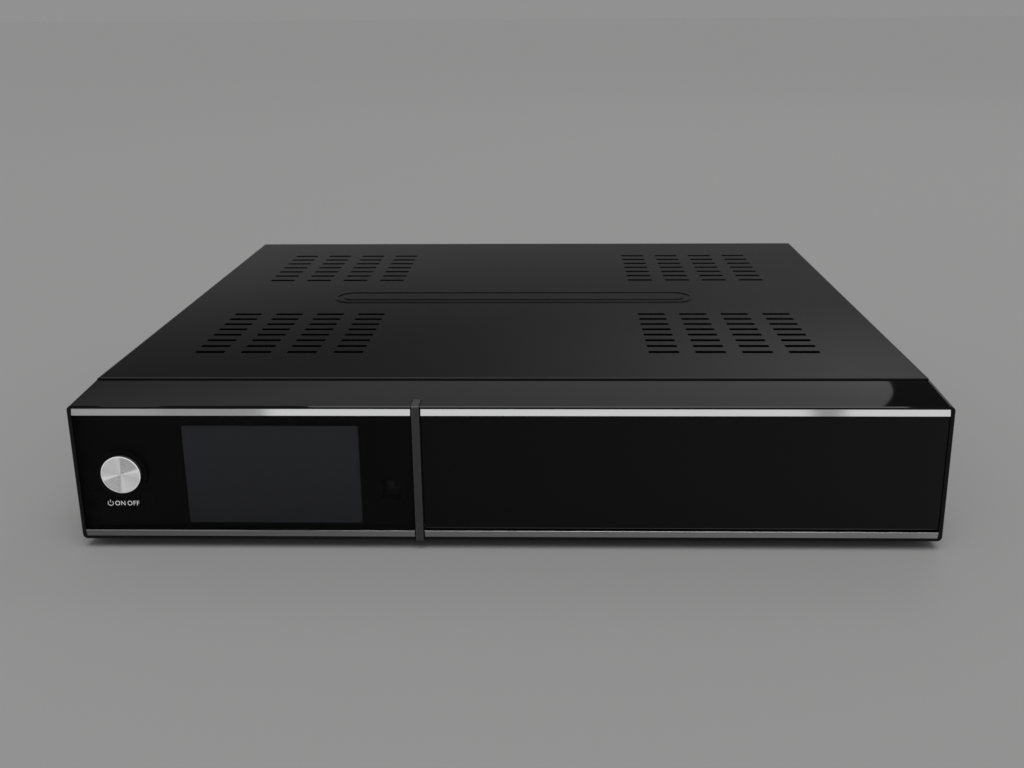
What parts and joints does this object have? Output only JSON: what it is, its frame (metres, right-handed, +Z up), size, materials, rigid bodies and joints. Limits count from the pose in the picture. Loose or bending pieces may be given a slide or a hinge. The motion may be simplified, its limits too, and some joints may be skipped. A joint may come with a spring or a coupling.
{
  "type": "satellite tv receiver",
  "caption": "Desktop satellite receiver: slotted steel cover, gloss fascia with smoked display window, bright strips, press button and a drop-down flap over its card slots.",
  "frame": {"origin": "on the floor, under the middle of the whole receiver", "axes": "+X to the right seen from the front, +Y to the back, +Z up; the fascia faces -Y"},
  "size_m": [0.38, 0.2904, 0.0709],
  "materials": {
    "fascia_gloss": "high gloss black moulding",
    "smoked_window": "smoked acrylic, polished",
    "flap_gloss": "polished black acrylic",
    "bright_trim": "bright brushed strips",
    "strap_satin": "satin graphite",
    "button_metal": "spun aluminium",
    "cover_paint": "satin black powder coat",
    "zinc_steel": "zinc-plated sheet",
    "screw_black": "black zinc",
    "foot_rubber": "matt rubber",
    "black_plastic": "fine matt moulding",
    "lcd_glass": "display glass, switched off",
    "circuit_green": "solder mask",
    "chip_black": "epoxy",
    "sink_aluminium": "extruded",
    "tin_can": "tinned screening can",
    "nickel": "nickel plate",
    "copper_tape": "taped winding and ferrite",
    "ribbon_white": "flat cable"
  },
  "bodies": {
    "casing": {"board_capacitors": "chip_black", "board_screws": "zinc_steel", "board_standoffs": "zinc_steel", "button_ring": "fascia_gloss", "card_bay_panel": "black_plastic", "card_reader_lower": "black_plastic", "card_reader_upper": "black_plastic", "catch_magnet": "nickel", "chassis_base": "zinc_steel", "ci_cage_lower": "black_plastic", "ci_cage_upper": "black_plastic", "cover_screws": "screw_black", "display_window": "smoked_window", "divider_strap": "strap_satin", "drive_tray": "zinc_steel", "ethernet_port": "black_plastic", "f_nuts": "nickel", "f_sockets": "nickel", "fascia_frame": "fascia_gloss", "fascia_screws": "screw_black", "foot_front_left": "foot_rubber", "foot_front_right": "foot_rubber", "foot_rear_left": "foot_rubber", "foot_rear_right": "foot_rubber", "foot_screws": "screw_black", "front_board": "circuit_green", "hdmi_ports": "tin_can", "heatsink": "sink_aluminium", "ir_receiver": "black_plastic", "lcd_module": "lcd_glass", "main_board": "circuit_green", "mains_inlet": "black_plastic", "mains_switch_body": "black_plastic", "memory_chips": "chip_black", "optical_output": "black_plastic", "psu_board": "circuit_green", "psu_capacitor": "chip_black", "psu_heatsink": "sink_aluminium", "psu_transformer": "copper_tape", "rear_panel": "cover_paint", "ribbon_cable": "ribbon_white", "soc_chip": "chip_black", "strip_bottom_left": "bright_trim", "strip_bottom_right": "bright_trim", "strip_top_left": "bright_trim", "strip_top_right": "bright_trim", "tact_switch": "black_plastic", "top_cover": "cover_paint", "tuner_left": "tin_can", "tuner_right": "tin_can", "usb_port_front": "nickel", "usb_ports_rear": "tin_can"},
    "flap": {"flap_door": "flap_gloss", "hinge_pins": "zinc_steel", "catch_plate": "zinc_steel"},
    "button": {"power_button": "button_metal", "button_plunger": "black_plastic", "switch_actuator": "black_plastic"},
    "rocker": {"mains_rocker": "black_plastic"}
  },
  "joints": [
    {"name": "flap_hinge", "type": "hinge", "parent": "casing", "child": "flap", "pos_m": [0.07537, -0.1427, 0.0109], "axis": [1, 0, 0], "range_deg": [0, 90]},
    {"name": "button_press", "type": "slide", "parent": "casing", "child": "button", "axis": [0, 1, 0], "range_m": [0, 0.0006], "stiffness_N_per_m": 1500, "springref_m": -0.0005},
    {"name": "rocker_tilt", "type": "hinge", "parent": "casing", "child": "rocker", "pos_m": [-0.124, 0.1334, 0.0365], "axis": [1, 0, 0], "range_deg": [0, 20]}
  ]
}
